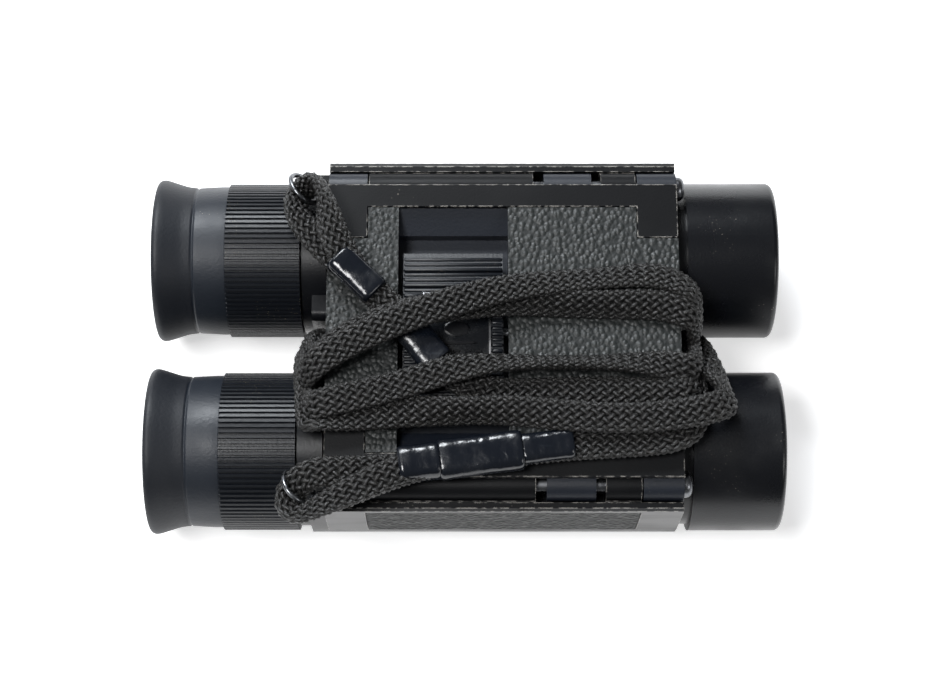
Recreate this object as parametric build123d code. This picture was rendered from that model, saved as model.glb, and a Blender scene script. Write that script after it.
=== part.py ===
from build123d import *
import math
import os

# Compact folding binoculars, millimetres. +X is the way the light comes from (objective end),
# -X the eyepiece end, +Y the user's left, +Z up. The origin is on the resting surface, at the
# middle of the outline. The left barrel is modelled at +Y and the right one is its mirror image.

# ---- driving dimensions -----------------------------------------------------------------
HALF_LENGTH = 56.1
AXIS_Y, AXIS_Z = 18.1, 15.0          # optical axis of the left barrel, folded
HINGE_Y, HINGE_Z = 27.3, 27.9        # fold hinge of the left barrel

BRIDGE_X0, BRIDGE_X1 = -24.4, 37.8
BRIDGE_HALF_W = 24.1
BASE_Z0, BASE_Z1 = 24.5, 25.5        # base plate
DECK_Z = 31.0                        # top of the chassis casting
PLATE_Z = 32.0                       # top of the edge plates
LEATHER_Z = 31.9                     # top of the leatherette

HOUSING_X0, HOUSING_X1 = -27.5, 38.0
HOUSING_Y0, HOUSING_Y1 = 4.1, 31.5
HOUSING_TOP = 24.2
LIP_TOP = 28.5
PRISM_TOP = 22.7
COLLAR_R = 13.3
COLLAR_X0, COLLAR_X1 = -29.3, -24.9

KNUCKLE_R = 2.8
PIN_R = 1.5
RUN = 0.05                           # radial clearance of every running fit
BRIDGE_KNUCKLES = [(-24.4, -17.5), (14.1, 22.6), (30.8, 37.8)]
BARREL_KNUCKLES = [(-17.2, 12.2), (24.3, 30.5)]

RECESS_X0, RECESS_X1 = -11.8, 7.6    # finger recess round the focus rocker
RECESS_TOP_Y, RECESS_LOW_Y = 22.5, 18.2
RECESS_SHELF_Z, RECESS_FLOOR_Z = 28.5, 26.1

ROCKER_R = 60.0                      # crown radius of the rocker's pad
ROCKER_APEX = 31.6
ROCKER_X0, ROCKER_X1 = -10.9, 6.7
ROCKER_HALF_W = 14.4
ROCKER_THICK = 1.6
ROCKER_PIVOT_Z = 28.4
RIB_PITCH, RIB_GAP, RIB_DEPTH = 1.55, 0.6, 0.35
BADGE_X0, BADGE_X1, BADGE_HALF_W = -7.4, 4.5, 6.7

TUBE_R = 14.2
NECK_R, NECK_X1 = 13.0, 39.8
FRONT_BORE_R, REAR_BORE_R = 8.4, 8.2
HOOD_R, HOOD_X0 = 12.9, 51.6
LENS_SEAT_R = 11.6

RING_X0, RING_X1 = -43.0, -29.6      # dioptre ring
RING_R, RING_ROOT_R, RING_RIBS = 14.1, 13.72, 90
EYE_TUBE_R, EYE_TUBE_IN = 12.5, 11.25
CELL_R, CELL_BORE = 11.2, 9.0
EYECUP_R = 14.9

CORD_D = 2.6
LUG_HOLE_X, LUG_HOLE_Z, LUG_HOLE_R = -27.0, 28.6, 1.2
STRAP_RING_R, WIRE_R = 3.2, 0.45

COIL_Y0, COIL_Y1 = -17.0, 13.0       # cord wound lengthwise round the bridge
COIL_Z0, COIL_Z1 = 11.5, 37.5
COIL_X0, COIL_X1 = -28.9, 43.6
COIL_LEFT_Y = -3.0
COIL_STEM_HALF = 3.3

# Free cord at each end of the winding: doubled back through its ring, then under its keeper.
LEFT_TAIL = [
    (-22.0, 11.8, 33.5), (-26.6, 16.0, 33.6), (-30.2, 21.0, 32.6), (-29.8, 25.8, 30.8),
    (-26.0, 27.4, 32.6), (-24.8, 22.4, 35.6), (-23.2, 15.4, 36.7), (-18.94, 8.70, 35.0),
    (-14.6, 4.55, 34.6),
]
RIGHT_TAIL = [
    (-12.0, -25.9, 33.6), (-20.0, -26.2, 33.7), (-26.8, -26.2, 33.4), (-30.6, -29.6, 30.2),
    (-28.8, -33.8, 32.0), (-22.4, -31.4, 35.4), (-12.6, -27.2, 36.6), (-4.6, -24.6, 34.8),
    (5.0, -23.3, 34.7), (15.0, -21.9, 34.2), (25.0, -21.3, 34.0), (33.0, -20.8, 34.0),
    (35.5, -17.0, 34.0),
]


# ---- small helpers ----------------------------------------------------------------------
def span_box(x0, x1, y0, y1, z0, z1):
    """A box from its lowest to its highest corner."""
    centre = Pos((x0 + x1) / 2, (y0 + y1) / 2, (z0 + z1) / 2)
    return centre * Box(x1 - x0, y1 - y0, z1 - z0)


def rod(x0, x1, radius, y=AXIS_Y, z=AXIS_Z):
    """A cylinder along X."""
    return Pos((x0 + x1) / 2, y, z) * Rot(0, 90, 0) * Cylinder(radius, x1 - x0)


def turned(points, y=AXIS_Y, z=AXIS_Z):
    """A solid turned about the optical axis from (x, radius) corners."""
    outline = Polyline(*[(x, 0, r) for x, r in points], close=True)
    return Pos(0, y, z) * revolve(make_face(outline), Axis.X)


def flat(points, z0, z1):
    """A plate of a plan outline between two heights."""
    return extrude(make_face(Polyline(*[(x, y, z0) for x, y in points], close=True)), z1 - z0)


def along_x(points, x0, x1):
    """A bar of a (y, z) cross-section between two stations."""
    face = make_face(Polyline(*[(x0, y, z) for y, z in points], close=True))
    return extrude(face, amount=x1 - x0, dir=(1, 0, 0))


def crowned(x0, x1, half_width, outer, inner):
    """A curved pad about the rocker's crown centre, between two radii."""
    middle = ROCKER_APEX - ROCKER_R
    ring = rod(x0, x1, outer, 0, middle) - rod(x0 - 1, x1 + 1, inner, 0, middle)
    return ring & span_box(x0, x1, -half_width, half_width, middle + ROCKER_R / 2, PLATE_Z + 5)


def lens(x0, x1, radius, bulge0, bulge1):
    """A round lens with its edge from x0 to x1; a negative bulge hollows the face."""
    edges, tips = [Line((x0, radius), (x1, radius))], []
    for x, bulge, outward in ((x0, bulge0, -1), (x1, bulge1, 1)):
        ball_r = (radius ** 2 + bulge ** 2) / (2 * abs(bulge))
        tip = x + outward * bulge
        centre = tip - outward * math.copysign(ball_r, bulge)
        sweep_deg = math.degrees(math.asin(radius / ball_r))
        start = 0 if tip > centre else 180 - sweep_deg
        edges.append(CenterArc((centre, 0), ball_r, start, sweep_deg))
        tips.append((tip, 0))
    face = make_face(Wire([*edges, Line(*tips)]))
    return Pos(0, AXIS_Y, AXIS_Z) * revolve(face, Axis.X)


def save(name, shape):
    export_step(shape, f"parts/{name}.step")


def save_pair(name, shape):
    """The left piece as modelled and the right one as its mirror image."""
    save(f"left_{name}", shape)
    save(f"right_{name}", mirror(shape, about=Plane.XZ))


# ---- bridge -----------------------------------------------------------------------------
SCREW_SPOTS = [(x, side * y) for x, y in ((-18.0, 16.0), (32.0, 18.0)) for side in (-1, 1)]
CAVITY = (9.5, 36.0, -22.6, 22.6, BASE_Z1, 30.3)


def bridge_chassis():
    body = span_box(BRIDGE_X0, BRIDGE_X1, -BRIDGE_HALF_W, BRIDGE_HALF_W, BASE_Z1, DECK_Z)
    for side in (-1, 1):
        for x0, x1 in BRIDGE_KNUCKLES:
            body += rod(x0, x1, KNUCKLE_R, side * HINGE_Y, HINGE_Z)
            inner, outer = sorted((side * (BRIDGE_HALF_W - 0.5), side * HINGE_Y))
            body += span_box(x0, x1, inner, outer, BASE_Z1, HINGE_Z + KNUCKLE_R)
        body -= rod(BRIDGE_X0 + 0.8, BRIDGE_X1 + 1, PIN_R, side * HINGE_Y, HINGE_Z)
    slope = [
        (-RECESS_TOP_Y, DECK_Z + 0.5), (-RECESS_TOP_Y, DECK_Z), (-RECESS_LOW_Y, RECESS_SHELF_Z),
        (-RECESS_LOW_Y, RECESS_FLOOR_Z), (RECESS_LOW_Y, RECESS_FLOOR_Z),
        (RECESS_LOW_Y, RECESS_SHELF_Z), (RECESS_TOP_Y, DECK_Z), (RECESS_TOP_Y, DECK_Z + 0.5),
    ]
    body -= along_x(slope, RECESS_X0, RECESS_X1)
    body -= span_box(*CAVITY)
    for x, y in SCREW_SPOTS:
        if x > RECESS_X1:
            body += Pos(x, y, (BASE_Z1 + 30.5) / 2) * Cylinder(2.0, 30.5 - BASE_Z1)
        body -= Pos(x, y, BASE_Z1 + 1.6) * Cylinder(0.8, 3.4)
    body -= rod(-14.4, RECESS_X0 + 1, 1.0, 0, ROCKER_PIVOT_Z)
    body -= rod(RECESS_X1 - 1, 10.0, 1.0 + RUN, 0, ROCKER_PIVOT_Z)
    return body


def base_plate():
    plate = span_box(BRIDGE_X0, BRIDGE_X1, -BRIDGE_HALF_W, BRIDGE_HALF_W, BASE_Z0, BASE_Z1)
    for x, y in SCREW_SPOTS:
        plate -= Pos(x, y, BASE_Z0 + 0.3) * Cylinder(1.5, 0.6)
        plate -= Pos(x, y, BASE_Z0 + 0.5) * Cylinder(0.8, 1.2)
    return plate


def base_plate_screws():
    screws = []
    for x, y in SCREW_SPOTS:
        head = Pos(x, y, BASE_Z0 + 0.3) * Cylinder(1.5, 0.6)
        head -= Pos(x, y, BASE_Z0) * Box(2.4, 0.4, 0.5)
        screws.append(head + Pos(x, y, BASE_Z0 + 1.9) * Cylinder(0.8, 2.8))
    return Compound(screws)


def edge_plate():
    """C-shaped cover along the left hinge: a long strip with a square leg at each end."""
    strip_y, leg_y, edge_y = 22.5, 16.7, 26.8
    left_x, right_x = -17.3, 30.5
    outline = [
        (BRIDGE_X0, edge_y), (BRIDGE_X0, leg_y), (left_x, leg_y), (left_x, strip_y),
        (right_x, strip_y), (right_x, leg_y), (BRIDGE_X1, leg_y), (BRIDGE_X1, edge_y),
    ]
    plate = flat(outline, DECK_Z, PLATE_Z)
    corners = plate.edges().filter_by(Axis.Z).sort_by(Axis.Y)
    plate = fillet(corners[:4], 0.5)
    return chamfer(plate.edges().group_by(Axis.Z)[-1], 0.12)


def leatherette(x0, x1, leg_x0, leg_x1):
    """Grained cover on the deck, cut out round the legs of both edge plates."""
    strip_y, leg_y = 22.4, 16.6
    sheet = span_box(x0, x1, -strip_y, strip_y, DECK_Z, LEATHER_Z)
    for side in (-1, 1):
        y0, y1 = sorted((side * leg_y, side * (strip_y + 1)))
        sheet -= span_box(leg_x0, leg_x1, y0, y1, DECK_Z - 1, LEATHER_Z + 1)
    return sheet


def hinge_pin():
    """Steel fold pin with a domed head at the objective end."""
    shank = rod(BRIDGE_X0 + 0.8, BRIDGE_X1, PIN_R, HINGE_Y, HINGE_Z)
    head = rod(BRIDGE_X1, BRIDGE_X1 + 1.6, 2.2, HINGE_Y, HINGE_Z)
    head = fillet(head.edges().group_by(Axis.X)[-1], 1.2)
    return shank + head


def strap_lug():
    half = 0.8
    eye = span_box(LUG_HOLE_X, BRIDGE_X0, HINGE_Y - half, HINGE_Y + half, 26.9, 30.3)
    nose = Pos(LUG_HOLE_X, HINGE_Y, LUG_HOLE_Z) * Rot(90, 0, 0) * Cylinder(1.7, 2 * half)
    hole = Pos(LUG_HOLE_X, HINGE_Y, LUG_HOLE_Z) * Rot(90, 0, 0) * Cylinder(LUG_HOLE_R, 4)
    return eye + nose - hole


def strap_ring(side):
    """Wire ring standing in its lug's eye, leaning past the bridge's end."""
    lean = Vector(-0.5, -0.35, 0.79).normalized()
    across = Vector(-lean.Y, lean.X, 0).normalized()
    centre = Vector(LUG_HOLE_X, side * HINGE_Y, LUG_HOLE_Z) + lean * STRAP_RING_R
    plane = Plane(origin=centre, x_dir=across, z_dir=lean.cross(across))
    return plane * Torus(STRAP_RING_R, WIRE_R)


# ---- focusing ---------------------------------------------------------------------------
def focus_rocker():
    pad = crowned(ROCKER_X0, ROCKER_X1, ROCKER_HALF_W, ROCKER_R, ROCKER_R - ROCKER_THICK)
    middle = ROCKER_APEX - ROCKER_R
    count = int((ROCKER_HALF_W - 2.2) / RIB_PITCH)
    for k in range(-count, count + 1):
        turn = Pos(0, 0, middle) * Rot(math.degrees(k * RIB_PITCH / ROCKER_R), 0, 0)
        groove = Box(ROCKER_X1 - ROCKER_X0 + 2, RIB_GAP, 2 * RIB_DEPTH)
        pad -= turn * Pos((ROCKER_X0 + ROCKER_X1) / 2, 0, ROCKER_R) * groove
    pad -= crowned(BADGE_X0, BADGE_X1, BADGE_HALF_W, ROCKER_R + 1, ROCKER_R - 0.6)
    under = ROCKER_APEX - ROCKER_THICK + 0.3
    for x0, x1 in ((ROCKER_X0, -7.4), (3.2, ROCKER_X1)):
        pad += rod(x0, x1, 1.9, 0, ROCKER_PIVOT_Z)
        pad += span_box(x0, x1, -1.9, 1.9, ROCKER_PIVOT_Z, under)
    pad -= rod(ROCKER_X0 - 1, -8.4, 1.0 + RUN, 0, ROCKER_PIVOT_Z)
    pad -= rod(4.0, ROCKER_X1 + 1, 1.0, 0, ROCKER_PIVOT_Z)
    return pad


def rocker_badge():
    """Blank name plate with a raised rim, let into the rocker."""
    plate = crowned(BADGE_X0, BADGE_X1, BADGE_HALF_W, ROCKER_R + 0.2, ROCKER_R - 0.6)
    rim = 0.55
    inner = crowned(BADGE_X0 + rim, BADGE_X1 - rim, BADGE_HALF_W - rim, ROCKER_R + 1, ROCKER_R - 0.15)
    return plate - inner


def focus_screw():
    """Quick-thread spindle on the rocker's axis, with thread rings along its working length."""
    screw = rod(4.0, 34.6, 1.0, 0, ROCKER_PIVOT_Z)
    for k in range(16):
        x = 13.0 + 1.2 * k
        groove = rod(x, x + 0.3, 1.1, 0, ROCKER_PIVOT_Z) - rod(x, x + 0.3, 0.8, 0, ROCKER_PIVOT_Z)
        screw -= groove
    return screw


def focus_carriage():
    """Crossbar nut that the spindle drives along the guide rods."""
    bar = span_box(18.0, 23.0, -20.0, 20.0, BASE_Z1 + 0.4, 29.9)
    bar -= rod(17.0, 24.0, 1.0 + RUN, 0, ROCKER_PIVOT_Z)
    for side in (-1, 1):
        bar -= rod(17.0, 24.0, 1.0 + RUN, side * 12.0, 27.8)
    return bar


def guide_rods():
    return Compound([rod(9.5, 36.0, 1.0, side * 12.0, 27.8) for side in (-1, 1)])


# ---- barrel (left) ----------------------------------------------------------------------
def prism_housing():
    body = span_box(HOUSING_X0, HOUSING_X1, HOUSING_Y0, HOUSING_Y1, 0, HOUSING_TOP)
    low = body.edges().filter_by(Axis.X).group_by(Axis.Z)[0]
    body = fillet(low, 9.6)
    inner_top = body.edges().filter_by(Axis.X).group_by(Axis.Z)[-1].sort_by(Axis.Y)[0]
    body = fillet(inner_top, 1.5)
    body += rod(COLLAR_X0, COLLAR_X1, COLLAR_R)
    room = span_box(-10.0, 27.0, AXIS_Y - 11.6, AXIS_Y + 11.0, 3.0, PRISM_TOP)
    body -= fillet(room.edges().filter_by(Axis.X).group_by(Axis.Z)[0], 7.0)
    body -= rod(COLLAR_X0 - 1, -9.0, REAR_BORE_R)
    body -= rod(26.0, HOUSING_X1 + 1, FRONT_BORE_R)
    return body


def hinge_leaf():
    """Rail on top of the housing that carries the barrel's knuckles and its outer lip."""
    leaf = span_box(BRIDGE_X0, BRIDGE_X1, 30.5, HOUSING_Y1, HOUSING_TOP, LIP_TOP)
    for x0, x1 in BARREL_KNUCKLES:
        leaf += rod(x0, x1, KNUCKLE_R, HINGE_Y, HINGE_Z)
        leaf += span_box(x0, x1, HINGE_Y - 2.4, HOUSING_Y1, HOUSING_TOP, HINGE_Z)
        leaf -= rod(x0 - 0.1, x1 + 0.1, PIN_R + RUN, HINGE_Y, HINGE_Z)
    return leaf


def side_plate():
    """C-shaped cover on the outer side, with a square leg at each end."""
    z0, z1, z2 = 13.0, 27.3, LIP_TOP
    left_x, right_x = -17.3, 30.5
    outline = [
        (BRIDGE_X0, z2), (BRIDGE_X0, z0), (left_x, z0), (left_x, z1),
        (right_x, z1), (right_x, z0), (BRIDGE_X1, z0), (BRIDGE_X1, z2),
    ]
    face = make_face(Polyline(*[(x, HOUSING_Y1, z) for x, z in outline], close=True))
    return extrude(face, amount=0.6, dir=(0, 1, 0))


def side_leatherette():
    return span_box(-17.2, 30.4, HOUSING_Y1, HOUSING_Y1 + 0.5, 13.0, 27.2)


def objective_tube():
    x1 = HALF_LENGTH
    tube = turned([
        (34.4, 7.6), (34.4, FRONT_BORE_R), (HOUSING_X1, FRONT_BORE_R),
        (HOUSING_X1, NECK_R), (NECK_X1, NECK_R), (NECK_X1, TUBE_R), (x1, TUBE_R),
        (x1, HOOD_R), (HOOD_X0, HOOD_R), (HOOD_X0, LENS_SEAT_R), (46.4, LENS_SEAT_R),
        (46.4, 10.2), (42.0, 10.2), (38.4, 7.6),
    ])
    rim = tube.edges().filter_by(GeomType.CIRCLE).group_by(Axis.X)[-1].sort_by(SortBy.RADIUS)[-1]
    return fillet(rim, 1.0)


def objective_retainer():
    ring = turned([(49.6, 10.7), (49.6, LENS_SEAT_R), (51.4, LENS_SEAT_R), (51.4, 11.3)])
    for side in (-1, 1):
        ring -= Pos(51.2, AXIS_Y + side * 11.2, AXIS_Z) * Box(0.8, 1.0, 1.2)
    return ring


def roof_prism(x0, x1, toward):
    """One glass block of the erecting pair; the slanted face points towards +X or -X."""
    near, far = (x0, x1) if toward > 0 else (x1, x0)
    outline = [(near, 5.6), (far, 5.6), (far, 15.0), (far - toward * 6.2, PRISM_TOP), (near, PRISM_TOP)]
    face = make_face(Polyline(*[(x, AXIS_Y - 8.5, z) for x, z in outline], close=True))
    return extrude(face, amount=17.0, dir=(0, 1, 0))


def focus_cell():
    r = FRONT_BORE_R - RUN
    return turned([(28.5, 7.0), (28.5, r), (32.5, r), (32.5, 7.0)])


def eyepiece_tube():
    return turned([
        (-43.4, EYE_TUBE_IN), (-43.4, EYE_TUBE_R - 0.6), (RING_X0, EYE_TUBE_R),
        (COLLAR_X0, EYE_TUBE_R), (COLLAR_X0, 9.8), (-30.6, 9.8), (-30.6, EYE_TUBE_IN),
    ])


def dioptre_ring():
    """Grip ring with fine straight ribs all round."""
    step = 2 * math.pi / RING_RIBS
    outline = []
    for k in range(RING_RIBS):
        for share, r in ((0.0, RING_ROOT_R), (0.3, RING_ROOT_R), (0.42, RING_R), (0.88, RING_R)):
            a = (k + share) * step
            outline.append((RING_X0, r * math.cos(a), r * math.sin(a)))
    ribbed = extrude(make_face(Polyline(*outline, close=True)), RING_X1 - RING_X0, dir=(1, 0, 0))
    ribbed = Pos(0, AXIS_Y, AXIS_Z) * ribbed
    return ribbed - rod(RING_X0 - 1, RING_X1 + 1, EYE_TUBE_R + RUN)


def eyecup():
    """Soft rubber cup with a flared rim."""
    x0 = -HALF_LENGTH
    outer = Spline([(RING_X0, 0, 13.7), (-48.6, 0, 13.5), (-52.6, 0, 14.25), (x0 + 1.0, 0, EYECUP_R)])
    rim = ThreePointArc((x0 + 1.0, 0, EYECUP_R), (x0, 0, 14.25), (x0 + 0.7, 0, 13.5))
    bowl = Spline([(x0 + 0.7, 0, 13.5), (-52.5, 0, 12.4), (-48.4, 0, 11.7)])
    inside = Polyline((-48.4, 0, 11.7), (-43.7, 0, 11.7), (-43.7, 0, 12.9), (RING_X0, 0, 12.9))
    foot = Line((RING_X0, 0, 12.9), (RING_X0, 0, 13.7))
    face = make_face(Wire([outer, rim, bowl, *inside.edges(), foot]))
    return Pos(0, AXIS_Y, AXIS_Z) * revolve(face, Axis.X)


def ocular_cell():
    return turned([
        (-47.0, CELL_BORE), (-47.0, 10.4), (-46.4, CELL_R), (-34.0, CELL_R), (-34.0, CELL_BORE),
    ])


# ---- neck cord --------------------------------------------------------------------------
def cord_coil():
    """Outer shape of the turns: over the deck, down past both ends and back between the barrels."""
    plan = [
        (COIL_X0, COIL_Y0), (COIL_X1, COIL_Y0), (COIL_X1, COIL_Y1), (-7.5, COIL_Y1),
        (-22.8, COIL_LEFT_Y), (COIL_X0, COIL_LEFT_Y),
    ]
    half = COIL_STEM_HALF
    coil = flat(plan, PLATE_Z + 0.4, COIL_Z1)
    coil += span_box(38.3, COIL_X1, COIL_Y0, COIL_Y1, 29.8, COIL_Z1)
    coil += span_box(COIL_X0, -24.8, COIL_Y0, COIL_LEFT_Y, 28.9, COIL_Z1)
    for x0, x1, top in ((38.3, COIL_X1, 30.0), (COIL_X0, -24.8, 29.2)):
        coil += span_box(x0, x1, -half, half, COIL_Z0, top)
    coil += span_box(COIL_X0, COIL_X1, -half, half, COIL_Z0, BASE_Z0 - 0.3)
    return coil


def tail(name, points):
    """A cord's tube: straight runs joined by the largest tangent arcs that the runs allow."""
    spots = [Vector(*p) for p in points]
    radii = []
    for before, here, after in zip(spots, spots[1:], spots[2:]):
        turn = math.radians((here - before).get_angle(after - here))
        shorter = min((here - before).length, (after - here).length)
        radii.append(0.45 * shorter / math.tan(turn / 2))
    path = FilletPolyline(*points, radius=radii)
    section = Plane(origin=path @ 0, z_dir=path % 0) * Circle(CORD_D / 2)
    tube = sweep(section, path=path, transition=Transition.ROUND)
    share = tube.volume / (math.pi * CORD_D ** 2 / 4 * path.length)
    print(name, "radii", [round(r, 1) for r in radii], "length", round(path.length, 1),
          "volume share", round(share, 4))
    return tube


def on_cord(start, end, width, height, along0, along1):
    """A rounded block on the cord, on the straight line from start to end."""
    a, b = Vector(*start), Vector(*end)
    way = (b - a).normalized()
    plane = Plane(origin=a, x_dir=way, z_dir=Vector(0, 0, 1) - way * way.Z)
    block = Pos((along0 + along1) / 2, 0, 0) * Box(along1 - along0, width, height)
    return plane * fillet(block.edges().filter_by(Axis.X), min(width, height) * 0.35)


# ---- make every piece -------------------------------------------------------------------
def make_bridge():
    save("bridge_chassis", bridge_chassis())
    save("bridge_base_plate", base_plate())
    save("base_plate_screws", base_plate_screws())
    save_pair("edge_plate", edge_plate())
    save("rear_leatherette", leatherette(BRIDGE_X0, RECESS_X0, BRIDGE_X0 - 1, -17.2))
    save("front_leatherette", leatherette(RECESS_X1, BRIDGE_X1, 30.4, BRIDGE_X1 + 1))
    save_pair("hinge_pin", hinge_pin())
    save_pair("strap_lug", strap_lug())
    save("left_strap_ring", strap_ring(1))
    save("right_strap_ring", strap_ring(-1))


def make_focusing():
    save("focus_rocker", focus_rocker())
    save("rocker_badge", rocker_badge())
    save("rocker_pin", rod(-14.4, -8.5, 1.0, 0, ROCKER_PIVOT_Z))
    save("focus_screw", focus_screw())
    save("focus_carriage", focus_carriage())
    save("carriage_guide_rods", guide_rods())


def make_barrels():
    save_pair("prism_housing", prism_housing())
    save_pair("hinge_leaf", hinge_leaf())
    save_pair("side_plate", side_plate())
    save_pair("side_leatherette", side_leatherette())
    save_pair("objective_tube", objective_tube())
    save_pair("objective_lens", lens(46.7, 49.3, LENS_SEAT_R, 0.9, 1.3))
    save_pair("objective_retainer", objective_retainer())
    save_pair("front_prism", roof_prism(9.0, 25.6, 1))
    save_pair("rear_prism", roof_prism(-8.6, 8.0, -1))
    save_pair("focus_cell", focus_cell())
    save_pair("focus_lens", lens(29.3, 31.7, 7.0, -0.6, 0.7))
    save_pair("eyepiece_tube", eyepiece_tube())
    save_pair("dioptre_ring", dioptre_ring())
    save_pair("eyecup", eyecup())
    save_pair("ocular_cell", ocular_cell())
    save_pair("field_lens", lens(-38.0, -35.4, CELL_BORE, 1.0, 0.8))
    save_pair("eye_lens", lens(-45.6, -43.2, CELL_BORE, 0.3, 1.4))


def make_cord():
    save("cord_coil", cord_coil())
    save("left_cord_tail", tail("left_cord_tail", LEFT_TAIL))
    save("right_cord_tail", tail("right_cord_tail", RIGHT_TAIL))
    a, b = LEFT_TAIL[-2], LEFT_TAIL[-1]
    save("left_cord_sleeve", on_cord(a, b, 5.6, 4.4, -4.8, 4.7))
    a, b = RIGHT_TAIL[7], RIGHT_TAIL[8]
    save("right_cord_keeper", on_cord(a, b, 7.0, 4.6, 0.0, 14.6))
    save("right_cord_sleeves", Compound([
        on_cord(a, b, 5.4, 4.0, -7.6, 0.0), on_cord(a, b, 5.4, 3.8, 14.6, 23.4),
    ]))


os.makedirs("parts", exist_ok=True)
make_bridge()
make_focusing()
make_barrels()
make_cord()
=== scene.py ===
"""Compact folding binoculars: finishes, soft parts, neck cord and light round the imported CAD."""

import math

import bpy
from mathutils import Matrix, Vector


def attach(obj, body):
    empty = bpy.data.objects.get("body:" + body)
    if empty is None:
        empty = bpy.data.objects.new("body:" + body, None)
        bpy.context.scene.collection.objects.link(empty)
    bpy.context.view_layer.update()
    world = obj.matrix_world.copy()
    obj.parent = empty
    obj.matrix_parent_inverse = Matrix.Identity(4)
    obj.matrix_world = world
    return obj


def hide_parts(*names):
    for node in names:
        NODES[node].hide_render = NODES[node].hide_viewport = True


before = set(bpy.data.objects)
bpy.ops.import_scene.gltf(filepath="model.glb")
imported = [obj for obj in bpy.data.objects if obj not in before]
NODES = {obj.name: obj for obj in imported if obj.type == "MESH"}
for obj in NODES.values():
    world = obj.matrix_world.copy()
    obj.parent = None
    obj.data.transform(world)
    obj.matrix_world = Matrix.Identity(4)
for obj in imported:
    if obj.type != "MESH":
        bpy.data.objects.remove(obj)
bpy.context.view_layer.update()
MM = 0.001


AXIS_Y, AXIS_Z = 18.1 * MM, 15.0 * MM   # the optical axes of the two barrels

# ---- camera -----------------------------------------------------------------------------
DISTANCE = 400 * MM
TILT = math.radians(16.5)
SHIFT_X, SHIFT_UP = 0.25 * MM, 0.9 * MM   # moves the camera across its line of sight
target = Vector((0, 0, AXIS_Z))
cam_data = bpy.data.cameras.new("camera")
cam_data.lens = 84.6
cam_data.sensor_width = 36
cam_data.clip_start = 0.01
cam = bpy.data.objects.new("camera", cam_data)
bpy.context.scene.collection.objects.link(cam)
back = Vector((0, -math.sin(TILT), math.cos(TILT)))
upward = Vector((0, math.cos(TILT), math.sin(TILT)))
cam.location = target + back * DISTANCE + upward * SHIFT_UP + Vector((SHIFT_X, 0, 0))
cam.rotation_mode = "QUATERNION"
cam.rotation_quaternion = (-back).to_track_quat("-Z", "Y")
bpy.context.scene.camera = cam


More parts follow.
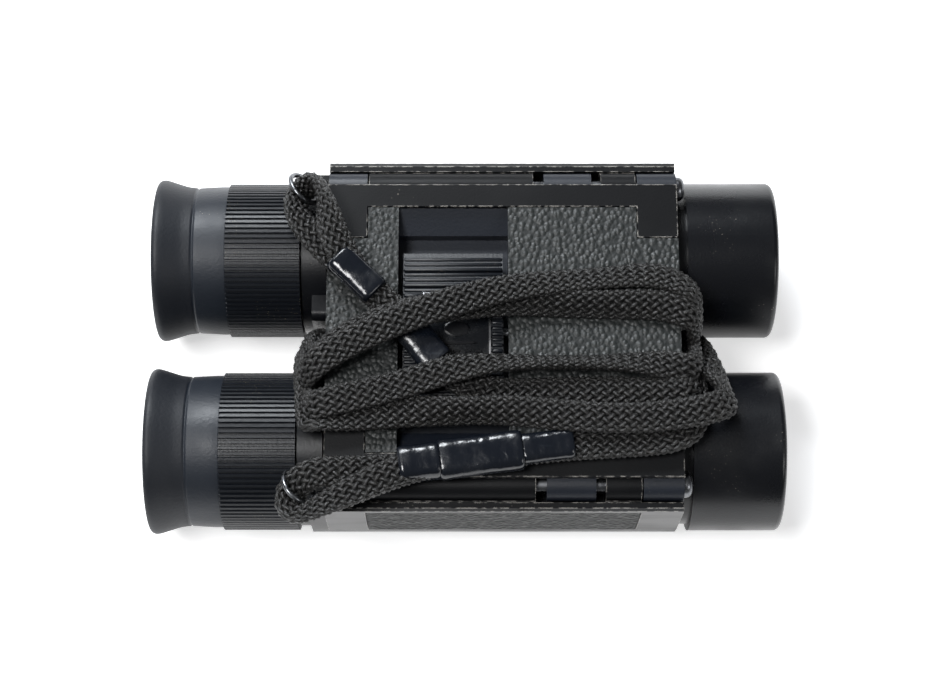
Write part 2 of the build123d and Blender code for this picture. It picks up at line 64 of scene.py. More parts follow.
# ---- material kit -----------------------------------------------------------------------
class Mat:
    """A material with short calls for the node chains that the finishes share."""

    def __init__(self, name, colour, rough, metallic=0.0, specular=0.5):
        self.mat = bpy.data.materials.new(name)
        self.mat.use_nodes = True
        self.tree = self.mat.node_tree
        self.bsdf = self.tree.nodes["Principled BSDF"]
        self.put("Base Color", (*colour, 1))
        self.put("Roughness", rough)
        self.put("Metallic", metallic)
        self.put("Specular IOR Level", specular)
        self.coord = self.tree.nodes.new("ShaderNodeTexCoord").outputs["Object"]
        self.height = None

    def put(self, socket, value):
        self.bsdf.inputs[socket].default_value = value

    def node(self, kind, **settings):
        node = self.tree.nodes.new("ShaderNode" + kind)
        for key, value in settings.items():
            setattr(node, key, value)
        return node

    def link(self, a, b):
        self.tree.links.new(a, b)

    def scaled(self, stretch):
        mapping = self.node("Mapping")
        mapping.inputs["Scale"].default_value = stretch
        self.link(self.coord, mapping.inputs["Vector"])
        return mapping.outputs["Vector"]

    def noise(self, scale, detail=3.0, stretch=(1, 1, 1)):
        node = self.node("TexNoise")
        node.inputs["Scale"].default_value = scale
        node.inputs["Detail"].default_value = detail
        self.link(self.scaled(stretch), node.inputs["Vector"])
        return node.outputs["Fac"]

    def cells(self, scale, stretch=(1, 1, 1)):
        node = self.node("TexVoronoi")
        node.inputs["Scale"].default_value = scale
        self.link(self.scaled(stretch), node.inputs["Vector"])
        return node.outputs["Distance"]

    def places(self):
        """The object's own X, Y and Z as single values."""
        node = self.node("SeparateXYZ")
        self.link(self.coord, node.inputs[0])
        return node.outputs

    def ramp(self, value, low, high, a=0.0, b=1.0):
        node = self.node("MapRange", interpolation_type="SMOOTHSTEP")
        ends = {"From Min": low, "From Max": high, "To Min": a, "To Max": b}
        for socket, number in ends.items():
            node.inputs[socket].default_value = number
        self.link(value, node.inputs["Value"])
        return node.outputs["Result"]

    def maths(self, operation, a, b):
        node = self.node("Math", operation=operation)
        for socket, value in zip(node.inputs, (a, b)):
            if isinstance(value, (int, float)):
                socket.default_value = value
            else:
                self.link(value, socket)
        return node.outputs[0]

    def over(self, socket, kind, mask, value):
        """Lays a value over what feeds a socket, where the mask is 1."""
        node = self.node("Mix", data_type=kind)
        base = self.bsdf.inputs[socket]
        if base.links:
            self.link(base.links[0].from_socket, node.inputs["A"])
        else:
            node.inputs["A"].default_value = base.default_value
        node.inputs["B"].default_value = value
        self.link(mask, node.inputs["Factor"])
        self.link(node.outputs["Result"], base)

    def colour(self, mask, colour):
        self.over("Base Color", "RGBA", mask, (*colour, 1))

    def rough(self, mask, value):
        self.over("Roughness", "FLOAT", mask, value)

    def bump(self, height, distance, strength=1.0):
        node = self.node("Bump")
        node.inputs["Distance"].default_value = distance
        node.inputs["Strength"].default_value = strength
        self.link(height, node.inputs["Height"])
        if self.height is not None:
            self.link(self.height, node.inputs["Normal"])
        self.height = node.outputs["Normal"]
        self.link(self.height, self.bsdf.inputs["Normal"])

    def edges(self):
        """1 on convex edges, 0 elsewhere, broken up by noise."""
        bevel = self.node("Bevel", samples=4)
        bevel.inputs["Radius"].default_value = 0.22 * MM
        normal = self.node("NewGeometry").outputs["Normal"]
        dot = self.node("VectorMath", operation="DOT_PRODUCT")
        self.link(bevel.outputs["Normal"], dot.inputs[0])
        self.link(normal, dot.inputs[1])
        edge = self.ramp(dot.outputs["Value"], 0.93, 0.995, 1.0, 0.0)
        return self.maths("MULTIPLY", edge, self.ramp(self.noise(900, 2), 0.42, 0.6))

    def dust(self, share=0.1, colour=(0.23, 0.21, 0.18), scale=1500):
        """Small pale specks, thicker in some places than others."""
        speck = self.ramp(self.cells(scale), 0.1, 0.16, 1.0, 0.0)
        patch = self.ramp(self.noise(120, 4), 0.62 - share, 0.75)
        self.colour(self.maths("MULTIPLY", speck, patch), colour)


def finish_nodes(material, *names):
    for name in names:
        for slot in NODES[name].material_slots:
            slot.material = material


def both(*names):
    return [f"{side}_{name}" for name in names for side in ("left", "right")]


# ---- finishes ---------------------------------------------------------------------------
# The badge on the rocker: its middle, and where its bright rim starts each way, in mm.
BADGE_X, BADGE_RIM_X, BADGE_RIM_Y, BADGE_RIM_SOFT = -1.45, 5.62, 6.37, 0.04
# Where each eyecup's flare begins, and how far the change of finish is spread, in mm.
FLARE_X, FLARE_SOFT = -49.1, 0.3


def moulded_gloss():
    m = Mat("moulded_gloss", (0.003, 0.0035, 0.005), 0.27, 0.0, 0.4)
    m.rough(m.ramp(m.noise(60, 4), 0.4, 0.7), 0.42)
    m.dust(0.06)
    m.bump(m.noise(2500, 2), 0.00002)
    return m.mat


def satin_plate():
    m = Mat("satin_plate", (0.0025, 0.0028, 0.0036), 0.42, 0.0, 0.2)
    m.rough(m.ramp(m.noise(70, 4), 0.4, 0.7), 0.5)
    m.colour(m.edges(), (0.42, 0.4, 0.37))
    m.dust(0.02, scale=1100)
    m.bump(m.noise(3000, 2), 0.00002)
    return m.mat


def badge():
    """Dark gloss with a bright worn rim."""
    m = Mat("badge", (0.004, 0.005, 0.007), 0.22, 0.0, 0.4)
    places = m.places()
    x = m.maths("ABSOLUTE", m.maths("ADD", places["X"], -BADGE_X * MM), 0)
    y = m.maths("ABSOLUTE", places["Y"], 0)
    rim_x, rim_y = BADGE_RIM_X * MM, BADGE_RIM_Y * MM
    rim = m.maths("MAXIMUM", m.ramp(x, rim_x, rim_x + BADGE_RIM_SOFT * MM),
                  m.ramp(y, rim_y, rim_y + BADGE_RIM_SOFT * MM))
    m.colour(rim, (0.42, 0.42, 0.43))
    m.link(rim, m.bsdf.inputs["Metallic"])
    m.rough(m.ramp(m.noise(300, 3), 0.4, 0.7), 0.35)
    m.bump(m.noise(2600, 2), 0.00002)
    return m.mat


def satin_slope():
    m = Mat("satin_slope", (0.009, 0.012, 0.019), 0.42, 0.0, 0.45)
    m.dust(0.1, scale=2300)
    m.bump(m.noise(2200, 3), 0.00003)
    return m.mat


def ribbed_black():
    m = Mat("ribbed_black", (0.0045, 0.006, 0.009), 0.38, 0.0, 0.4)
    m.dust(0.14, (0.2, 0.17, 0.12), 1900)
    m.bump(m.noise(2400, 3), 0.00003)
    return m.mat


def bright_trim():
    """Dark painted metal of the side plates, streaked along and worn bright at its edges."""
    m = Mat("bright_trim", (0.04, 0.04, 0.041), 0.34, 0.4)
    m.rough(m.ramp(m.noise(160, 4, (0.2, 1, 1)), 0.4, 0.7), 0.5)
    m.colour(m.ramp(m.noise(240, 4), 0.58, 0.7), (0.02, 0.02, 0.02))
    m.colour(m.edges(), (0.4, 0.39, 0.36))
    return m.mat


def steel():
    m = Mat("steel", (0.17, 0.175, 0.185), 0.25, 1.0)
    m.rough(m.ramp(m.noise(500, 3), 0.4, 0.7), 0.45)
    return m.mat


def rubber():
    """Soft flared lip, darker and duller than the satin neck behind the moulding line."""
    m = Mat("rubber", (0.01, 0.0135, 0.02), 0.4, 0.0, 0.4)
    lip = m.ramp(m.places()["X"], (FLARE_X - FLARE_SOFT) * MM, FLARE_X * MM, 1.0, 0.0)
    m.colour(lip, (0.0055, 0.0072, 0.0112))
    m.rough(lip, 0.52)
    m.rough(m.maths("MULTIPLY", m.ramp(m.noise(90, 4), 0.35, 0.7), 0.5), 0.62)
    m.dust(0.02, scale=1700)
    m.bump(m.noise(1800, 3), 0.00004)
    return m.mat


def inner_black():
    m = Mat("inner_black", (0.006, 0.006, 0.008), 0.6)
    m.bump(m.noise(2000, 2), 0.00003)
    return m.mat


def coated_glass():
    m = Mat("coated_glass", (0.02, 0.014, 0.05), 0.04, 0.0, 0.9)
    m.put("Coat Weight", 0.6)
    m.put("Coat Tint", (0.55, 0.4, 1.0, 1))
    m.rough(m.ramp(m.noise(80, 3), 0.5, 0.8), 0.09)
    return m.mat


def leatherette(name, colour, specular):
    """Pebbled skin, with painted shade darkening the furrows between its pebbles."""
    m = Mat(name, colour, 0.5, 0.0, specular)
    pebble = m.cells(1050, (1, 0.9, 1))
    # painted shade: the furrows between the pebbles are darkened, where shade falls
    m.colour(m.ramp(pebble, 0.35, 0.62), (0.009, 0.011, 0.011))
    m.rough(m.ramp(m.noise(500, 3), 0.4, 0.7), 0.4)
    m.bump(m.ramp(pebble, 0.05, 0.7, 1.0, 0.0), 0.0002)
    m.bump(m.noise(1500, 4), 0.00008)
    return m.mat


def braid():
    m = Mat("braid", (0.006, 0.0057, 0.0054), 0.36, 0.0, 0.55)
    m.put("Sheen Weight", 0.05)
    m.put("Sheen Roughness", 0.4)
    m.colour(m.ramp(m.noise(700, 3), 0.45, 0.75), (0.013, 0.012, 0.011))
    m.bump(m.noise(9000, 2), 0.00008)
    return m.mat


def cord_core():
    m = Mat("cord_core", (0.003, 0.003, 0.003), 0.8, 0.0, 0.2)
    m.bump(m.noise(6000, 2), 0.00005)
    return m.mat


def sleeve_gloss():
    m = Mat("sleeve_gloss", (0.004, 0.0055, 0.009), 0.15, 0.0, 0.6)
    scratch = m.ramp(m.noise(420, 5, (0.12, 1, 1)), 0.64, 0.7)
    m.colour(scratch, (0.012, 0.015, 0.02))
    m.rough(m.ramp(m.noise(150, 4), 0.4, 0.7), 0.34)
    m.bump(m.noise(380, 4), 0.0003, 0.7)
    return m.mat


GLOSS, PLATE, RIBBED, TRIM = moulded_gloss(), satin_plate(), ribbed_black(), bright_trim()
STEEL, RUBBER, INNER, GLASS = steel(), rubber(), inner_black(), coated_glass()
LEATHER = leatherette("leatherette", (0.0225, 0.025, 0.0246), 0.4)
# painted shade: the same leatherette at half the brightness for the side panels, which face away
# from the light
SHADED_SIDE_LEATHER = leatherette("side_leatherette", (0.011, 0.012, 0.012), 0.12)
BRAID, CORE, SLEEVE = braid(), cord_core(), sleeve_gloss()

finish_nodes(GLOSS, *both("prism_housing", "objective_tube"))
finish_nodes(PLATE, "bridge_base_plate", "focus_carriage",
             *both("edge_plate", "hinge_leaf", "strap_lug"))
finish_nodes(satin_slope(), "bridge_chassis")
finish_nodes(RIBBED, "focus_rocker", *both("dioptre_ring"))
finish_nodes(badge(), "rocker_badge")
finish_nodes(TRIM, *both("side_plate"))
finish_nodes(STEEL, "base_plate_screws", "rocker_pin", "focus_screw", "carriage_guide_rods",
             *both("hinge_pin", "strap_ring"))
finish_nodes(INNER, *both("objective_retainer", "focus_cell", "eyepiece_tube", "ocular_cell"))
finish_nodes(GLASS, *both("objective_lens", "front_prism", "rear_prism", "focus_lens",
                          "field_lens", "eye_lens"))
finish_nodes(LEATHER, "rear_leatherette", "front_leatherette")
finish_nodes(SHADED_SIDE_LEATHER, *both("side_leatherette"))


# ---- mesh kit ---------------------------------------------------------------------------
def mesh_piece(name, verts, faces, material, body="bridge", smooth=True):
    mesh = bpy.data.meshes.new(name)
    mesh.from_pydata(verts, [], faces)
    mesh.materials.append(material)
    mesh.polygons.foreach_set("use_smooth", [smooth] * len(mesh.polygons))
    mesh.update()
    piece = bpy.data.objects.new(name, mesh)
    bpy.context.scene.collection.objects.link(piece)
    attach(piece, body)
    return piece


def tube_faces(rings, corners, start=0, capped=True, flipped=False):
    """Faces round a stack of rings of vertices, whose first vertex is number start."""
    faces = []
    for ring in range(rings - 1):
        for k in range(corners):
            a = start + ring * corners + k
            b = start + ring * corners + (k + 1) % corners
            faces.append((a, b, b + corners, a + corners))
    if capped:
        last = start + (rings - 1) * corners
        faces.append(tuple(range(start, start + corners))[::-1])
        faces.append(tuple(range(last, last + corners)))
    return [(face[0], *face[:0:-1]) for face in faces] if flipped else faces


def rounded(turn, power_x, power_y):
    """A point on a rounded rectangle 1 in half-size, squarer as the powers get smaller."""
    c, s = math.cos(turn), math.sin(turn)
    return math.copysign(abs(c) ** power_x, c), math.copysign(abs(s) ** power_y, s)


# ---- eyecups ----------------------------------------------------------------------------
def smooth_profile(knots, steps=6):
    """Points along a Catmull-Rom curve through the knots, in mm."""
    out = []
    for i in range(len(knots) - 1):
        a, b = knots[max(i - 1, 0)], knots[i]
        c, d = knots[i + 1], knots[min(i + 2, len(knots) - 1)]
        for k in range(steps):
            t = k / steps
            out.append(tuple(0.5 * (2 * q + (r - p) * t + (2 * p - 5 * q + 4 * r - u) * t * t
                                    + (3 * q - p - 3 * r + u) * t ** 3)
                             for p, q, r, u in zip(a, b, c, d)))
    return out + [knots[-1]]


def eyecup(side, sign):
    """A rolled lip, a moulding line where the flare meets the neck, and a hollow inside."""
    # Each point is its place along the barrel and its radius, in mm.
    neck = smooth_profile([(-43.0, 13.6), (-44.5, 13.62), (-47.0, 13.5), (-48.7, 13.4)])
    groove = [(-48.85, 13.25), (-49.0, 13.16), (-49.15, 13.24)]
    flare = smooth_profile([
        (-49.3, 13.42), (-51.0, 13.66), (-52.8, 14.2), (-54.4, 14.72), (-55.25, 14.86),
        (-55.85, 14.66), (-56.1, 14.25), (-55.95, 13.78), (-55.4, 13.5),
    ])
    inside = smooth_profile([
        (-55.4, 13.5), (-54.0, 13.0), (-52.5, 12.42), (-50.4, 11.95), (-48.4, 11.72),
        (-43.7, 11.72),
    ])
    seat = [(-43.7, 12.88), (-43.0, 12.88)]
    profile = neck + groove + flare[:-1] + inside + seat
    around, size = 128, len(profile)
    verts, faces = [], []
    for k in range(around):
        turn = 2 * math.pi * k / around
        y, z = MM * math.sin(turn), MM * math.cos(turn)
        verts += [(x * MM, sign * AXIS_Y + r * y, AXIS_Z + r * z) for x, r in profile]
    for k in range(around):
        for i in range(size):
            j = (i + 1) % size
            b = (k + 1) % around
            faces.append((k * size + i, k * size + j, b * size + j, b * size + i))
    cup = mesh_piece(f"{side}_eyecup_rubber", verts, faces, RUBBER, f"{side}_barrel")
    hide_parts(f"{side}_eyecup")


eyecup("left", 1)
eyecup("right", -1)


# ---- focus rocker -----------------------------------------------------------------------
# The rocker's crown is part of a cylinder that lies along the part. Its radius and the height
# of its axis, in mm:
CROWN_R, CROWN_Z = 60.0, -28.4


def badge_relief():
    """Plain raised bars on the badge's floor, in rows across it, with a lozenge in the middle."""
    badge_r, sunk, shoulder, top = 59.85, 0.03, 0.6, 0.86
    verts, faces = [], []

    def pad(cx, cy, half_x, half_y, tall=0.22, corners=12, power=0.6):
        start, floor_z = len(verts), CROWN_Z + math.sqrt(badge_r ** 2 - cy ** 2)
        for grow, up in ((1.0, -sunk), (1.0, shoulder * tall), (top, tall)):
            for k in range(corners):
                u, v = rounded(2 * math.pi * (k + 0.5) / corners, power, power)
                verts.append(((cx + half_x * grow * u) * MM, (cy + half_y * grow * v) * MM,
                              (floor_z + up) * MM))
        faces.extend(tube_faces(3, corners, start))

    for y in (5.0, 4.1, -4.1, -5.0):
        for x in (-5.2, -3.4, BADGE_X, 0.5, 2.3):
            pad(x, y, 0.62, 0.24)
    for y in (2.6, -2.6):
        pad(BADGE_X, y, 3.6, 0.3)
    pad(BADGE_X, 0.0, 2.3, 1.5, tall=0.26, corners=24, power=1.1)
    relief = mesh_piece("badge_relief", verts, faces, GLOSS, "rocker", smooth=False)


def rocker_ribs():
    """Half-round grip bars along the rocker, on its crown, round the badge."""
    x0, x1, badge_x0, badge_x1, badge_y = -10.8, 6.6, -7.55, 4.65, 6.9
    pitch, each_side, radius, sunk = 1.02, 13, 0.4, 0.12
    taper, tip, corners = 0.25, 0.55, 7
    verts, faces = [], []

    def bar(a, b, angle):
        start, up = len(verts), (math.sin(angle), math.cos(angle))
        across = (math.cos(angle), -math.sin(angle))
        for x, grow in ((a, tip), (a + taper, 1.0), (b - taper, 1.0), (b, tip)):
            for k in range(corners):
                t = math.pi * k / (corners - 1)
                w = radius * math.cos(t) * grow
                h = (radius * math.sin(t) - sunk) * grow
                verts.append((x * MM, ((CROWN_R + h) * up[0] + w * across[0]) * MM,
                              ((CROWN_R + h) * up[1] + w * across[1] + CROWN_Z) * MM))
        faces.extend(tube_faces(4, corners, start, flipped=True))

    for k in range(-each_side, each_side + 1):
        angle = pitch * k / CROWN_R
        if abs(CROWN_R * math.sin(angle)) > badge_y:
            bar(x0, x1, angle)
        else:
            bar(x0, badge_x0, angle)
            bar(badge_x1, x1, angle)
    ribs = mesh_piece("rocker_ribs", verts, faces, RIBBED, "rocker")


badge_relief()
rocker_ribs()


# ---- neck cord --------------------------------------------------------------------------
CORD_W, CORD_T = 5.6, 2.5
STEP = 0.35 * MM
CORE_IN_W, CORE_IN_T = 0.6, 0.5         # how far the core's faces lie inside the cord's
YARN_IN_W, YARN_IN_T = 0.45, 0.4        # the same for the middles of the yarns
YARN_HALF_W, YARN_HALF_T = 0.44, 0.3
YARN_RISE = 0.24                        # how far a yarn rises over those it crosses
YARNS_EACH_WAY, YARN_TURN = 10, 19.0    # a yarn goes once round the cord in YARN_TURN

# Control points of the whole cord in mm, with the roll of its flat side in degrees. It leaves
# the left ring, winds round the bridge, turns back between the barrels and ends at the right
# ring. The passes between the barrels are hidden in the photograph, so they are a guess.
LEFT_TAIL = [
    (-22.0, 11.8, 33.5, 0), (-26.6, 16.0, 33.6, 10), (-30.2, 21.0, 32.6, 45),
    (-29.8, 25.8, 30.8, 65), (-26.0, 27.4, 32.6, 60), (-24.8, 22.4, 35.6, 40),
    (-23.2, 15.4, 36.7, 0), (-18.94, 8.70, 35.0, 0), (-14.6, 4.55, 34.6, 0),
]
RIGHT_TAIL = [
    (-12.0, -25.9, 33.6, 0), (-20.0, -26.2, 33.7, 0), (-26.8, -26.2, 33.4, 0),
    (-30.6, -29.6, 30.2, 40), (-28.8, -33.8, 32.0, 50), (-22.4, -31.4, 35.4, 25),
    (-12.6, -27.2, 36.6, 0), (-4.6, -24.6, 34.8, 0), (5.0, -23.3, 34.7, 0),
    (15.0, -21.9, 34.2, 0), (25.0, -21.3, 34.0, 0), (33.0, -20.8, 34.0, 0),
    (35.5, -20.4, 34.0, 0),
]
# Each pass over the deck, from the eyepiece end to the objective end.
OVER = [
    [(-9.5, -0.6, 34.3, 0), (-4.4, -7.8, 34.3, 0), (0.7, -11.1, 34.1, 0), (5.7, -12.6, 34.0, 0),
     (13.7, -12.3, 33.4, 0), (24.3, -11.9, 33.4, 0), (34.7, -12.3, 33.4, 0)],
    [(-25.7, -5.4, 33.6, 0), (-21.3, -2.6, 34.4, 0), (-15.0, -0.5, 37.4, 0),
     (-9.0, 1.3, 37.4, 0), (-2.7, 2.9, 35.2, 0), (8.4, 4.6, 34.1, 20), (22.0, 3.6, 33.6, 50),
     (34.1, 3.9, 33.6, 20)],
    [(-25.4, -17.3, 33.5, 0), (-19.5, -16.6, 33.5, 0), (-9.4, -15.7, 34.3, 15),
     (0.0, -15.9, 35.1, 50), (7.3, -16.0, 36.2, 30), (18.6, -17.2, 36.4, 0),
     (29.0, -17.6, 36.2, 0), (37.6, -16.6, 36.0, 0)],
    [(-25.2, -14.6, 35.4, 0), (-18.5, -13.2, 35.4, 0), (-10.1, -11.2, 35.9, 10),
     (-3.0, -9.0, 36.8, 10), (4.8, -7.4, 35.9, 50), (18.0, -7.2, 34.6, 80),
     (29.6, -6.9, 34.0, 50), (34.3, -7.2, 33.6, 20)],
    [(-25.9, -7.4, 35.6, 0), (-21.0, -4.6, 36.8, 0), (-15.0, -2.0, 38.2, 0),
     (-8.0, 0.9, 38.2, 0), (-2.0, 3.1, 37.6, 0), (8.4, 6.6, 35.3, 20), (24.0, 8.5, 33.8, 40),
     (34.0, 9.4, 33.6, 10)],
]


def right_end(y, x, layer, low, forward=True):
    """Round the objective end of the bridge and into the gap between the barrels."""
    points = [(x - 0.4, y, 32.8, 0), (x + 0.2, y * 0.7, 29.6, 0), (x + 0.2, y * 0.15, 25.6, 0),
              (x - 0.6, 0.3 * layer, (25.2 + low) / 2 - 1.0, 0), (x - 4.2, 0.2 * layer, low, 0)]
    return points if forward else points[::-1]


def left_end(y, x, layer, low, forward=True):
    """From the gap between the barrels up round the eyepiece end of the bridge."""
    points = [(x + 4.4, 0.2 * layer, low, 0), (x + 0.7, 0.3 * layer, (25.2 + low) / 2 - 1.0, 0),
              (x - 0.1, y * 0.12, 25.0, 0), (x - 0.5, y * 0.6, 28.6, 0),
              (x + 0.3, y * 0.96, 32.0, 0)]
    return points if forward else points[::-1]


def under(low, layer, x0=26.0, x1=-12.0):
    """Along the gap between the barrels, sagging a little."""
    mid = (x0 + x1) / 2
    return [(x0, 0.2 * layer, low, 0), (mid, -0.2 * layer, low - 0.25, 0),
            (x1, 0.2 * layer, low, 0)]


LOWS = [22.6, 20.5, 18.4, 16.3, 14.2, 12.1]   # height of each pass between the barrels
route = list(LEFT_TAIL) + OVER[0]
route += right_end(-12.0, 39.6, 1, LOWS[0]) + under(LOWS[0], 1)
route += left_end(-6.6, -26.2, -1, LOWS[0]) + OVER[1]
route += right_end(2.2, 40.2, -1, LOWS[1]) + under(LOWS[1], -1)
route += left_end(-18.2, -26.8, 1, LOWS[1]) + OVER[2]
route += [(42.6, -15.4, 35.2, 0), (45.9, -13.6, 33.0, 0), (44.6, -9.6, 29.6, 0),
          (41.8, -3.0, 25.8, 0), (40.4, 0.2, 21.4, 0), (36.4, 0.2, LOWS[2], 0)]
route += under(LOWS[2], 1, 24.0, 0.0)
route += [(-11.0, 0, LOWS[2], 0), (-17.5, 0, LOWS[2] - 0.1, 0), (-19.6, 0, LOWS[2] - 2.0, 0),
          (-17.5, 0, LOWS[3] - 1.9, 0), (-11.0, 0, LOWS[3] - 0.6, 0)]
route += under(LOWS[3], -1)[::-1][1:]
route += right_end(-8.0, 40.2, 1, LOWS[3], False) + OVER[3][::-1]
route += left_end(-15.6, -27.4, -1, LOWS[4], False) + under(LOWS[4], 1)[::-1]
route += right_end(6.6, 40.6, -1, LOWS[4], False) + OVER[4][::-1]
route += left_end(-9.2, -28.0, 1, LOWS[5], False) + under(LOWS[5], -1)[::-1]
route += right_end(-18.6, 39.6, 1, LOWS[5], False) + RIGHT_TAIL[::-1]


def nurbs_points(rows):
    """Points along the smooth spline that the rows control."""
    curve = bpy.data.curves.new("route", "CURVE")
    curve.dimensions = "3D"
    curve.resolution_u = 10
    spline = curve.splines.new("NURBS")
    spline.points.add(len(rows) - 1)
    for point, row in zip(spline.points, rows):
        point.co = (*row, 1.0)
    spline.order_u = 3
    spline.use_endpoint_u = True
    holder = bpy.data.objects.new("route", curve)
    mesh = bpy.data.meshes.new_from_object(holder)
    points = [v.co.copy() for v in mesh.vertices]
    bpy.data.objects.remove(holder)
    bpy.data.curves.remove(curve)
    bpy.data.meshes.remove(mesh)
    return points


def even(points, extra, step):
    """The same line at even steps, with the extra value carried along."""
    out, values, carried = [points[0]], [extra[0]], 0.0
    for a, b, ra, rb in zip(points, points[1:], extra, extra[1:]):
        run = (b - a).length
        at = step - carried
        while at <= run:
            out.append(a.lerp(b, at / run))
            values.append(ra + (rb - ra) * at / run)
            at += step
        carried = run - (at - step)
    return out, values


raw = nurbs_points([(x * MM, y * MM, z * MM) for x, y, z, _ in route])
rolls = [p.x for p in nurbs_points([(roll, 0, 0) for *_, roll in route])]
line, rolls = even(raw, rolls, STEP)


def frames(points, turns):
    """Unit side and up vectors for a flat cord that keeps its flat side out."""
    ease, steep = 0.06, 0.75
    result, side = [], Vector((0, 1, 0))
    for i, turn in enumerate(turns):
        tangent = (points[min(i + 1, len(points) - 1)] - points[max(i - 1, 0)]).normalized()
        side = (side - tangent * side.dot(tangent)).normalized()
        lying = Vector((0, 1, 0)) if abs(tangent.y) < steep else tangent.cross(Vector((0, 0, 1)))
        if lying.dot(side) < 0:
            lying = -lying
        lying = (lying - tangent * lying.dot(tangent)).normalized()
        side = side.lerp(lying, ease).normalized()
        side = (side - tangent * side.dot(tangent)).normalized()
        up = tangent.cross(side)
        angle = math.radians(turn)
        result.append((side * math.cos(angle) + up * math.sin(angle),
                       up * math.cos(angle) - side * math.sin(angle)))
    return result


axes = frames(line, rolls)


def braided(share):
    """A third of the yarns of a plain braid round a flat core, each over one and under one."""
    lay, corners = YARN_TURN * MM, 4
    half_w, half_t = (CORD_W / 2 - YARN_IN_W) * MM, (CORD_T / 2 - YARN_IN_T) * MM
    section = [(math.cos(2 * math.pi * k / corners), math.sin(2 * math.pi * k / corners))
               for k in range(corners)]
    verts, faces = [], []
    for way in (1, -1):
        for yarn in range(YARNS_EACH_WAY):
            if (yarn + way) % 3 != share:
                continue
            faces += tube_faces(len(line), corners, len(verts), capped=False)
            for i, (point, (side, up)) in enumerate(zip(line, axes)):
                s = i * STEP
                turn = 2 * math.pi * (way * s / lay + yarn / YARNS_EACH_WAY)
                rise = way * YARN_RISE * MM * math.cos(2 * math.pi * YARNS_EACH_WAY * s / lay)
                c, sn = math.cos(turn), math.sin(turn)
                centre = point + side * (half_w * c) + up * (half_t * sn)
                outward = (side * (c / half_w) + up * (sn / half_t)).normalized()
                tangent = line[min(i + 1, len(line) - 1)] - line[max(i - 1, 0)]
                along = tangent.normalized() + (up * c * half_t - side * sn * half_w) * (
                    way * 2 * math.pi / lay)
                across = outward.cross(along).normalized()
                centre += outward * rise
                for a, b in section:
                    verts.append(centre + across * (YARN_HALF_W * MM * a)
                                 + outward * (YARN_HALF_T * MM * b))
    return verts, faces


def flat_core():
    """A flat tube inside the yarns, so that no light shows between them."""
    corners, verts = 16, []
    half_w, half_t = (CORD_W / 2 - CORE_IN_W) * MM, (CORD_T / 2 - CORE_IN_T) * MM
    for point, (side, up) in zip(line, axes):
        for k in range(corners):
            a = 2 * math.pi * k / corners
            verts.append(point + side * (half_w * math.cos(a)) + up * (half_t * math.sin(a)))
    return verts, tube_faces(len(line), corners)


def cord_sleeve(name, along0, along1, half_w, half_t):
    """A glossy heat-shrunk sleeve that follows the cord, with softly pinched ends."""
    first, last, corners = round(along0 * MM / STEP), round(along1 * MM / STEP), 28
    verts = []
    for i in range(first, last + 1):
        end = min(i - first, last - i)
        grow = (0.9, 0.98)[end] if end < 2 else 1.0 + 0.02 * math.sin(0.7 * i) * math.sin(0.3 * i)
        side, up = axes[i]
        for k in range(corners):
            u, v = rounded(2 * math.pi * k / corners, 0.7, 0.8)
            verts.append(line[i] + side * (half_w * grow * u * MM) + up * (half_t * grow * v * MM))
    sleeve = mesh_piece(name, verts, tube_faces(last - first + 1, corners), SLEEVE)
    return sleeve


def nearest(x, y, z, start, stop):
    """Distance along the cord, in mm, of its point nearest to a place."""
    place = Vector((x * MM, y * MM, z * MM))
    steps = range(round(start * MM / STEP), round(stop * MM / STEP))
    return min(steps, key=lambda i: (line[i] - place).length) * STEP / MM


def cord_block(name, start, end, along0, along1, width, height):
    """A soft sleeve round two runs of the cord: rounded, creased and a little waisted."""
    a, b = Vector(start) * MM, Vector(end) * MM
    way = (b - a).normalized()
    up = (Vector((0, 0, 1)) - way * way.z).normalized()
    side = way.cross(up)
    spacing, corners, verts = 0.4, 36, []
    count = round((along1 - along0) / spacing)
    for i in range(count + 1):
        t = i / count
        end_gap = min(i, count - i)
        grow = (0.9, 0.97)[end_gap] if end_gap < 2 else 1.0 - 0.035 * math.sin(math.pi * t)
        crease = 0.02 * math.sin(0.9 * i + 0.6) * math.sin(0.37 * i)
        centre = a + way * ((along0 + (along1 - along0) * t) * MM)
        for k in range(corners):
            turn = 2 * math.pi * k / corners
            u, v = rounded(turn, 0.55, 0.7)
            wrinkle = 1 + crease * math.sin(2 * turn + 0.3 * i)
            verts.append(centre + side * (width / 2 * grow * u * MM)
                         + up * (height / 2 * grow * wrinkle * v * MM))
    block = mesh_piece(name, verts, tube_faces(count + 1, corners), SLEEVE)
    return block


# The sleeves lie along these lines, from the first place towards the second. The distances in
# each call are from the first place.
left_a, left_b = LEFT_TAIL[-2][:3], LEFT_TAIL[-1][:3]
right_a, right_b = RIGHT_TAIL[7][:3], RIGHT_TAIL[8][:3]
sleeve = cord_block("left_sleeve_soft", left_a, left_b, -4.8, 4.7, 5.6, 4.4)
keeper = cord_block("right_keeper_soft", right_a, right_b, 0.0, 14.6, 7.0, 4.6)
short = cord_block("right_sleeve_soft_a", right_a, right_b, -6.8, 0.3, 6.4, 5.6)
long = cord_block("right_sleeve_soft_b", right_a, right_b, 14.3, 23.4, 5.4, 3.8)
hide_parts("left_cord_sleeve")
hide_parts("right_cord_keeper")
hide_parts("right_cord_sleeves")
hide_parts("right_cord_sleeves")
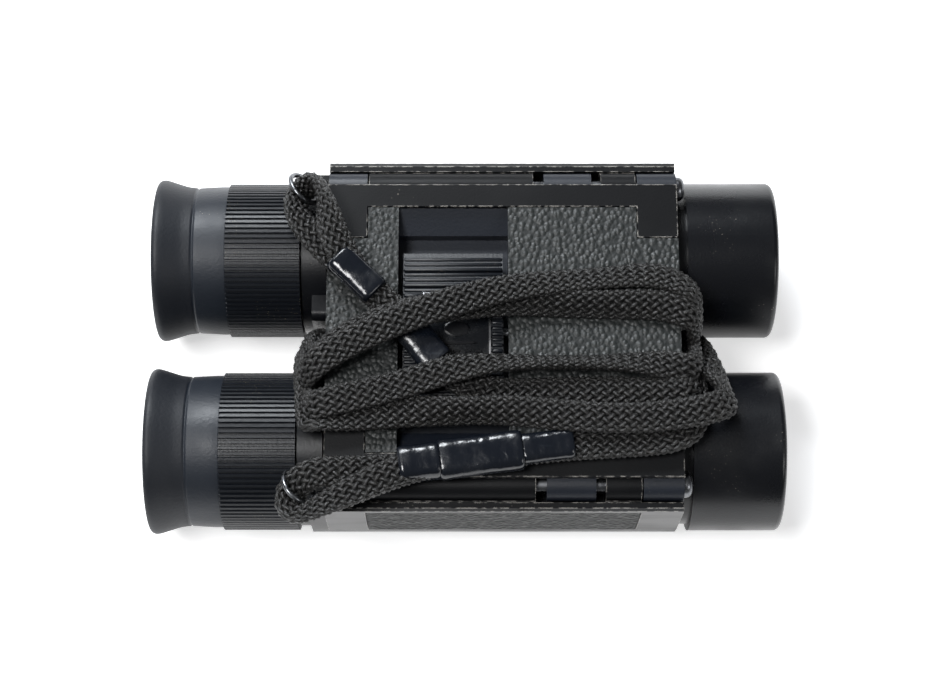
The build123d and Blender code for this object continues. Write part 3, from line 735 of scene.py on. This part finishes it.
# One more sleeve, half hidden under the upper passes, follows the cord after the left tail.
middle = nearest(-7.0, -4.2, 33.6, 40, 75)
lower_sleeve = cord_sleeve("left_lower_sleeve", middle - 4.6, middle + 3.4, 3.05, 1.6)
for share, name in enumerate(("neck_cord", "neck_cord_yarns_b", "neck_cord_yarns_c")):
    mesh_piece(name, *braided(share), BRAID)
core = mesh_piece("neck_cord_core", *flat_core(), CORE)
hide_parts("cord_coil", "left_cord_tail", "right_cord_tail")


# ---- floor and light --------------------------------------------------------------------
AIM = Vector((0, 0, 0.02))


def area_light(name, place, size, power, tint=(1, 1, 1)):
    data = bpy.data.lights.new(name, "AREA")
    data.shape = "RECTANGLE"
    data.size, data.size_y = size
    data.energy = power
    data.color = tint
    lamp = bpy.data.objects.new(name, data)
    bpy.context.scene.collection.objects.link(lamp)
    lamp.location = place
    lamp.rotation_mode = "QUATERNION"
    lamp.rotation_quaternion = (AIM - Vector(place)).to_track_quat("-Z", "Y")


def floor():
    m = Mat("floor", (0.86, 0.86, 0.86), 0.9, 0.0, 0.1)
    m.colour(m.ramp(m.noise(3, 2), 0.4, 0.7), (0.88, 0.88, 0.88))
    m.put("Emission Color", (1, 1, 1, 1))
    m.put("Emission Strength", 0.55)
    half, z = 4.0, -0.05 * MM
    corners = [(-half, -half, z), (half, -half, z), (half, half, z), (-half, half, z)]
    mesh = bpy.data.meshes.new("floor")
    mesh.from_pydata(corners, [], [(0, 1, 2, 3)])
    mesh.materials.append(m.mat)
    piece = bpy.data.objects.new("floor", mesh)
    bpy.context.scene.collection.objects.link(piece)


floor()
area_light("window", (-0.2, 0.5, 0.5), (0.3, 0.2), 6.0, tint=(0.92, 0.96, 1.0))
area_light("fill", (0.55, -0.35, 0.5), (0.3, 0.3), 1.1)
area_light("overhead", (-0.3, -0.1, 0.8), (0.3, 0.25), 5.0)
world = bpy.data.worlds.new("world")
bpy.context.scene.world = world
world.use_nodes = True
sky = world.node_tree.nodes["Background"]
sky.inputs["Color"].default_value = (0.95, 0.97, 1.0, 1)
sky.inputs["Strength"].default_value = 0.12
bpy.context.scene.view_settings.view_transform = "Standard"
